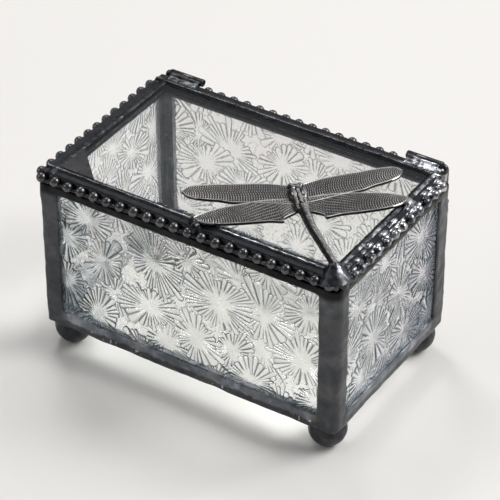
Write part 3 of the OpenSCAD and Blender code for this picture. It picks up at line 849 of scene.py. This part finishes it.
lid_mesh = lid_heap().melt("lid_solder", LID_VOXEL, smoothing=3)
lid_points = wobble(lid_mesh, along=[(5.0, 0.06), (1.6, 0.03)],
                    sideways=[(4.0, 0.08), (1.2, 0.05)], seed=300)
store_layer(lid_mesh, "shade", lid_shade(lid_points))
to_metres(lid_mesh, keep_inside(lid_points, (-LID_REACH_X, -LID_REACH_Y, LID_Z - 0.02),
                                (LID_REACH_X, LID_REACH_Y, CREST_Z + 9)))
dress(new_object("lid_solder", lid_mesh), "lid", "solder", LID_SOLDER,
      *("lid_seam_" + s for s in SIDES), *("bead_trim_" + s for s in SIDES), "tail_joint",
      "wing_joint_left", "wing_joint_right", "tube_solder_left", "tube_solder_right")


# ---- solder on the hinge pins ----

def pin_solder(side, seed):
    """Lumpy solder that holds a pin's leg to the back of the body."""
    low, high = span("pin_solder_" + side)
    x, y = (low[0] + high[0]) / 2, high[1] - 1.4
    heap = Heap()
    random = np.random.default_rng(seed)
    for z in np.linspace(low[2] + 0.8, high[2] - 0.8, 7):
        heap.ball((x + random.uniform(-0.3, 0.3), y - random.uniform(0.1, 0.4), z),
                  random.uniform(1.0, 1.3))
    mesh = heap.melt("pin_solder_" + side, PIN_VOXEL, smoothing=3)
    store_layer(mesh, "shade", np.full(len(mesh.vertices), 0.5))
    points = wobble(mesh, along=[(1.5, 0.08)], sideways=[], seed=70)
    to_metres(mesh, keep_inside(points, low, high))
    dress(new_object("pin_lump_" + side, mesh), "box", "solder", BODY_SOLDER, "pin_solder_" + side)


pin_solder("left", seed=7)
pin_solder("right", seed=9)


# ---- dragonfly ----

# outlines of one side's wings in the dragonfly's plan, from the root to the tip
FORE_LEADING = [(-9.2, 1.2), (-11, 6), (-12.3, 11.5), (-13.1, 18.5), (-14.1, 25.5), (-13.9, 30),
                (-11.8, 32.2)]
FORE_TRAILING = [(0, 1.2), (-1.6, 8), (-3.3, 15), (-4.2, 19.2), (-5.6, 22.3), (-7, 26.8),
                 (-9, 30.6), (-11.8, 32.2)]
HIND_LEADING = [(-3, 1.2), (-3.6, 9), (-3.1, 15.5), (-1.9, 23), (-0.4, 27.6), (1.4, 30.9)]
HIND_TRAILING = [(2.8, 1.2), (3.9, 2.2), (5.9, 5.6), (7.4, 6.2), (6.6, 10.5), (6.3, 18),
                 (5.6, 24.6), (4, 29), (1.4, 30.9)]


def smooth_line(points, samples):
    """Samples of a smooth curve through the points, evenly spaced along it."""
    p = np.array([points[0]] + list(points) + [points[-1]], float)
    line = []
    for i in range(len(points) - 1):
        a, b, c, d = p[i:i + 4]
        for t in np.linspace(0, 1, 24, endpoint=False):
            line.append(0.5 * (2 * b + (c - a) * t + (2 * a - 5 * b + 4 * c - d) * t * t
                               + (3 * b - a - 3 * c + d) * t ** 3))
    line = np.array(line + [p[-2]])
    length = np.concatenate([[0], np.cumsum(np.linalg.norm(np.diff(line, axis=0), axis=1))])
    even = np.linspace(0, length[-1], samples)
    return np.stack([np.interp(even, length, line[:, k]) for k in (0, 1)], 1)


def vein_heights(along, across, chord, sweep, long_height):
    """Raised veins on a wing, 0 to 1: rows that fan out from the root, filled with short ribs."""
    rows, length, rib_pitch = 8, 31.0, 0.66
    row = (across + sweep * (1 - along) ** 1.5) * rows + 0.8 * np.sin(along * 3.0)
    step = chord / rows
    long_vein = np.exp(-(((row - np.round(row)) * step) / 0.13) ** 2)
    lean = 0.45 * np.abs(row - np.floor(row) - 0.5)
    ribs = along * length / rib_pitch + 0.37 * np.floor(row) + lean + 1.6 * np.sin(across * 3.1)
    short_rib = np.exp(-(((ribs - np.round(ribs)) * rib_pitch) / 0.14) ** 2)
    gap = np.clip(1.25 - (2 * np.abs(row - np.floor(row) - 0.5)) ** 4 * 1.5, 0, 1)
    near_root = np.clip((0.8 - along) / 0.35, 0, 1)
    return np.maximum(long_height * long_vein * near_root,
                      short_rib * gap * (1 - 0.5 * long_height * near_root))


def wing_mesh(leading, trailing, side, sweep, long_height):
    """Points, faces and relief of one wing, a grid from root to tip with raised rim and veins.
    sweep is how far the rows of veins fan out, long_height how high the long veins stand."""
    n_along, n_across = WING_GRID
    lead, trail = smooth_line(leading, n_along), smooth_line(trailing, n_along)
    s = np.linspace(0, 1, n_across)
    plan = lead[:, None, :] * (1 - s)[None, :, None] + trail[:, None, :] * s[None, :, None]
    chord = np.linalg.norm(trail - lead, axis=1)[:, None]
    along = np.linspace(0, 1, n_along)[:, None] * np.ones((1, n_across))
    across = np.ones((n_along, 1)) * s[None, :]
    to_edge = np.minimum(across, 1 - across) * np.maximum(chord, 1e-3)
    to_edge = np.minimum(to_edge, (1 - along) * 30)

    rim = np.clip(1 - (to_edge / 0.5) ** 2, 0, 1) ** 0.5
    veins = vein_heights(along, across, chord, sweep, long_height)
    veins = veins * np.clip(to_edge / 0.3 - 0.5, 0, 1)
    relief = np.maximum(0.85 * rim * np.clip(to_edge / 0.12, 0, 1), 0.9 * veins)
    top = np.where(to_edge < 0.08, WING_Z + WING_T - 0.05, WING_Z + WING_T + VEIN_H * relief)

    xy = np.array([fly_place(u, side * v) for u, v in plan.reshape(-1, 2)])
    upper = np.column_stack([xy, top.ravel()])
    lower = np.column_stack([xy, np.full(len(xy), WING_Z)])
    quads, edge = grid_faces(n_along, n_across)
    shift = len(upper)
    faces = (quads.tolist() + (quads[:, ::-1] + shift).tolist()
             + skirt(edge, [v + shift for v in edge]))
    return np.vstack([upper, lower]), faces, np.concatenate([relief.ravel(), 0.3 * np.ones(shift)])


def make_wings():
    """All four wings in one mesh. The hind pair's veins fan out more and stand higher."""
    points, faces, relief = [], [], []
    for side in (-1, 1):
        for wing in ((FORE_LEADING, FORE_TRAILING, side, 0.35, 0.2),
                     (HIND_LEADING, HIND_TRAILING, side, 1.1, 0.75)):
            wing_points, wing_faces, wing_relief = wing_mesh(*wing)
            start = sum(len(p) for p in points)
            points.append(wing_points)
            relief.append(wing_relief)
            faces += [[v + start for v in face] for face in wing_faces]
    mesh = bpy.data.meshes.new("dragonfly_wings")
    mesh.from_pydata((np.vstack(points) * MM).tolist(), [], faces)
    store_layer(mesh, "relief", np.concatenate(relief))
    turn_outwards(mesh, join=0.002 * MM)
    smooth_faces(mesh)
    return new_object("dragonfly_wings", mesh)


def make_fly_body():
    """Head, eyes, wing roots, thorax and the long tail, with a painted highlight where they face
    the light.
    """
    heap = Heap()
    turn = math.radians(FLY_TURN)

    def at(u, v, lift=0.0):
        return (*fly_place(u, v), WING_Z + 0.9 + lift)

    heap.ball(at(-7.6, 0), 1.6, (0.9, 1.2, 0.85), turn)                             # head
    for side in (-1, 1):
        heap.ball(at(-8.2, side * 1.35, 0.35), 1.05)                                # eye
        heap.rod(at(-6.2, side * 1.15, 0.2), at(2.6, side * 1.2, 0.2), 1.2, 0.95)   # flank
        heap.ball(at(-4.0, side * 1.5, 0.25), 1.5, (2.0, 1, 1), turn)               # wing root
        heap.ball(at(-6.9, side * 1.0, 0.6), 0.7)
        heap.ball(at(3.4, side * 1.25, 0.3), 0.95)
    heap.rod(at(-5.6, 0.0, 0.95), at(0.6, 0.1, 0.75), 0.8, 0.6)                     # ridge
    start, bend, end = (np.array(at(*place)) for place in ((1.6, 0.2), (12.0, 1.0), TAIL_AT))
    heap.rod(start, bend, 1.65, 1.45)
    heap.rod(bend, end, 1.45, 1.15)
    mesh = heap.melt("dragonfly_body", FLY_VOXEL, smoothing=4)
    points = wobble(mesh, along=[(1.6, 0.04)], sideways=[], seed=500)
    points[:, 2] = np.maximum(points[:, 2], WING_Z)
    # painted highlight: brighter where the surface faces the lamp
    lit = mesh_normals(mesh) @ np.array((0.33, 0.25, 0.91))
    painted_highlight = 0.16 + 0.58 * np.clip(lit, 0, 1) ** 5 + 0.07 * lumps(points, 0.7, 77)
    store_layer(mesh, "relief", np.clip(painted_highlight, 0, 1))
    to_metres(mesh, points)
    return new_object("dragonfly_body", mesh)


dress(make_wings(), "lid", "pewter", WING_PEWTER, "dragonfly")
dress(make_fly_body(), "lid", "pewter", BODY_PEWTER, "dragonfly")


# ---- hinge tubes ----

def make_tube(node):
    """A smooth thin-walled tube along X, with softened ends."""
    low, high = span(node)
    outer, soft, segments = (high[2] - low[2]) / 2, 0.12, 40
    inner = outer - TUBE_WALL
    length = high[0] - low[0]
    profile = [(inner, soft), (inner + soft, 0), (outer - soft, 0), (outer, soft),
               (outer, length - soft), (outer - soft, length), (inner + soft, length),
               (inner, length - soft)]
    points = [(low[0] + along, (low[1] + high[1]) / 2 + radius * math.cos(turn),
               (low[2] + high[2]) / 2 + radius * math.sin(turn))
              for radius, along in profile
              for turn in np.arange(segments) * 2 * math.pi / segments]
    faces = []
    for ring in range(len(profile)):
        this, after = ring * segments, (ring + 1) % len(profile) * segments
        faces += [(this + i, this + (i + 1) % segments, after + (i + 1) % segments, after + i)
                  for i in range(segments)]
    mesh = bpy.data.meshes.new(node)
    mesh.from_pydata((np.array(points) * MM).tolist(), [], faces)
    turn_outwards(mesh)
    smooth_faces(mesh)
    dress(new_object("smooth_" + node, mesh), "lid", "hinge_metal", HINGE, node)


make_tube("hinge_tube_left")
make_tube("hinge_tube_right")


# ---- feet ----

def make_foot(node, seed):
    """A cast ball, sunk a little into the base and uneven where it was soldered on."""
    low, high = span(node)
    centre = (low + high) / 2
    radius = (high[0] - low[0]) / 2
    heap = Heap()
    heap.ball((centre[0], centre[1], low[2] + radius), radius - 0.05)
    mesh = heap.melt(node, FOOT_VOXEL, smoothing=4)
    points = wobble(mesh, along=[(3.0, 0.10), (1.0, 0.03)], sideways=[], seed=seed)
    points[:, 2] = np.minimum(points[:, 2], high[2] + 0.3)
    to_metres(mesh, keep_inside(points, low, (high[0], high[1], high[2] + 0.3)))
    dress(new_object("cast_" + node, mesh), "box", "solder", FOOT, node)


feet = [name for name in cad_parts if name.startswith("foot_")]
for k, name in enumerate(feet):
    make_foot(name, 600 + 10 * k)


# ---- nodes that keep their own shape ----

def finish_node(name, material):
    """Gives a node of the part its material, and leaves its shape alone."""
    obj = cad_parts[name]
    obj.data.materials.clear()
    obj.data.materials.append(material)


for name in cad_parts:
    if name.endswith("_foil"):
        finish_node(name, FOIL)
    elif name.startswith("hinge_"):
        finish_node(name, HINGE)
    elif name in ("lid_glass", "base_glass"):
        finish_node(name, CLEAR)
    elif name == "corner_web":
        finish_node(name, WEB)


# ---- stage ----

def add_floor():
    """A wide plain pale floor."""
    mesh = bpy.data.meshes.new("floor")
    size = 3.0
    mesh.from_pydata([(-size, -size, 0), (size, -size, 0), (size, size, 0), (-size, size, 0)], [],
                     [(0, 1, 2, 3)])
    floor = new_object("floor", mesh)
    material, _, _, shader = new_material("pale_floor")
    shader.inputs["Base Color"].default_value = (0.78, 0.755, 0.72, 1)
    shader.inputs["Roughness"].default_value = 0.7
    mesh.materials.append(material)


def add_lamp(name, place, aim, size, power):
    """A rectangular lamp; places in metres, power in watts."""
    light = bpy.data.lights.new(name, "AREA")
    light.shape = "RECTANGLE"
    light.size, light.size_y = size
    light.energy = power
    lamp = bpy.data.objects.new(name, light)
    lamp.location = place
    lamp.rotation_mode = "QUATERNION"
    lamp.rotation_quaternion = (Vector(aim) - Vector(place)).to_track_quat("-Z", "Y")
    bpy.context.scene.collection.objects.link(lamp)


def add_world():
    """A soft room: a wide pale glow on the far side, dimmer overhead and towards the viewer."""
    world = bpy.data.worlds.new("studio")
    world.use_nodes = True
    nodes, links = world.node_tree.nodes, world.node_tree.links
    back = nodes["Background"]
    back.inputs["Strength"].default_value = 0.76
    place = nodes.new("ShaderNodeTexCoord")
    facing = nodes.new("ShaderNodeVectorMath")
    facing.operation = "DOT_PRODUCT"
    facing.inputs[1].default_value = (0.30, 0.70, 0.65)
    links.new(place.outputs["Generated"], facing.inputs[0])
    sky = ramp(nodes, links, facing.outputs["Value"],
               [(0.0, (0.17, 0.175, 0.19)), (0.45, (0.26, 0.27, 0.30)), (0.75, (0.50, 0.52, 0.55)),
                (0.95, (0.95, 0.96, 0.98))])
    links.new(sky.outputs["Color"], back.inputs["Color"])
    bpy.context.scene.world = world


def add_camera():
    """The camera, placed by its angles round the part and its distance from it."""
    az, el = math.radians(CAMERA_AZIMUTH), math.radians(CAMERA_ELEVATION)
    back = Vector((math.sin(az) * math.cos(el), -math.cos(az) * math.cos(el), math.sin(el)))
    right = Vector((math.cos(az), math.sin(az), 0))
    up = back.cross(right)
    data = bpy.data.cameras.new("camera")
    data.lens = LENS
    data.sensor_width = 36
    data.clip_start, data.clip_end = 0.01, 20
    camera = bpy.data.objects.new("camera", data)
    aim = Vector((0, 0, Z_BODY + CAMERA_AIM_Z))
    camera.location = (back * CAMERA_DISTANCE + right * CAMERA_RIGHT + up * CAMERA_UP + aim) * MM
    camera.rotation_mode = "QUATERNION"
    camera.rotation_quaternion = (-back).to_track_quat("-Z", "Y")
    bpy.context.scene.collection.objects.link(camera)
    bpy.context.scene.camera = camera


add_floor()
add_world()
add_lamp("key", (1.05, 0.71, 1.36), aim=(0, 0, 0.03), size=(1.12, 0.92), power=28.0)
add_lamp("ridge", (-0.50, 0.40, 1.00), aim=(0, 0, 0.06), size=(0.30, 0.30), power=3.2)
add_lamp("fill", (-0.7, -0.5, 0.6), aim=(0, 0, 0.03), size=(0.8, 0.6), power=2.0)
add_camera()
bpy.context.scene.view_settings.view_transform = "Standard"
